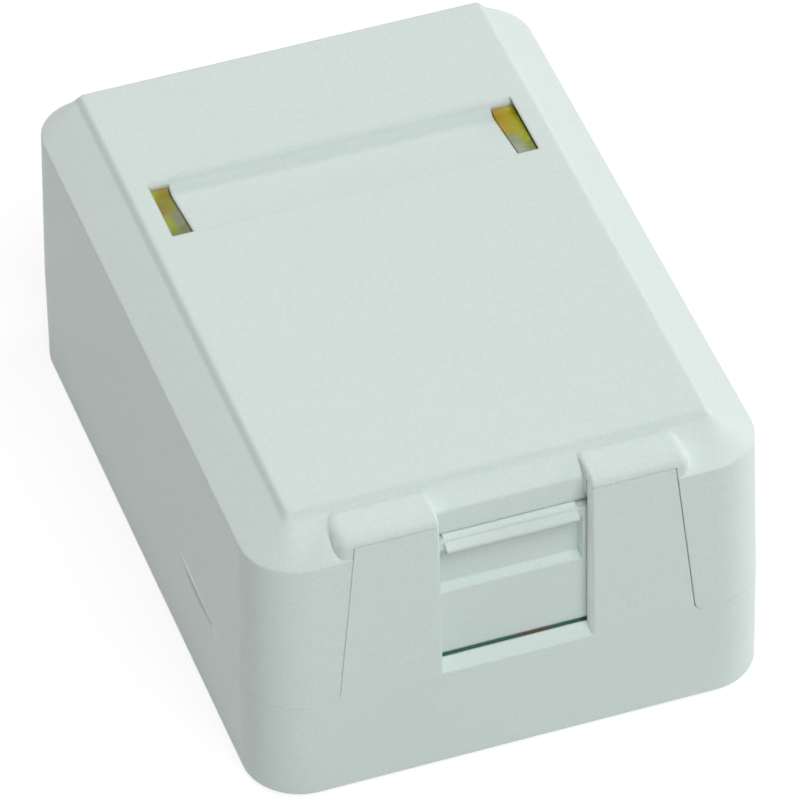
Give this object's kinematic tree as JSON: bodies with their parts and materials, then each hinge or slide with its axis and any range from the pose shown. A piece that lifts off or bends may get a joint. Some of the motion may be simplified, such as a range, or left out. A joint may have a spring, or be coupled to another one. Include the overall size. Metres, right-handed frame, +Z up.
{
  "type": "surface mount jack box",
  "caption": "Small two-part moulded box with a modular jack behind a sliding dust shutter, for mounting on a wall or desk edge.",
  "frame": {"origin": "centre of the footprint at the underside of the base", "axes": "+X to the right seen from the port, +Y from the port towards the cable entry, +Z up through the cover"},
  "size_m": [0.05, 0.07, 0.0312],
  "materials": {
    "base_plastic": "fine satin",
    "cover_plastic": "fine satin",
    "shutter_plastic": "fine satin",
    "jack_plastic": "satin",
    "board": "semi gloss",
    "idc_plastic": "satin",
    "cap_plastic": "translucent semi gloss",
    "contact_metal": "gold flash",
    "terminal_metal": "tinned",
    "screw_metal": "zinc plated"
  },
  "bodies": {
    "case": {"base": "base_plastic", "jack_housing": "jack_plastic", "pcb": "board", "idc_block_left": "idc_plastic", "idc_block_right": "idc_plastic", "idc_cap_left": "cap_plastic", "idc_cap_right": "cap_plastic", "pcb_screw_left": "screw_metal", "pcb_screw_right": "screw_metal", "jack_contact_1": "contact_metal", "jack_contact_2": "contact_metal", "jack_contact_3": "contact_metal", "jack_contact_4": "contact_metal", "jack_contact_5": "contact_metal", "jack_contact_6": "contact_metal", "jack_contact_7": "contact_metal", "jack_contact_8": "contact_metal", "idc_terminal_1": "terminal_metal", "idc_terminal_2": "terminal_metal", "idc_terminal_3": "terminal_metal", "idc_terminal_4": "terminal_metal", "idc_terminal_5": "terminal_metal", "idc_terminal_6": "terminal_metal", "idc_terminal_7": "terminal_metal", "idc_terminal_8": "terminal_metal"},
    "cover": {"cover": "cover_plastic"},
    "shutter": {"shutter": "shutter_plastic"}
  },
  "joints": [
    {"name": "cover_lift", "type": "slide", "parent": "case", "child": "cover", "axis": [0, 0, 1], "range_m": [0, 0.026]},
    {"name": "shutter_slide", "type": "slide", "parent": "case", "child": "shutter", "axis": [0, 0, -1], "range_m": [0, 0.01]}
  ]
}
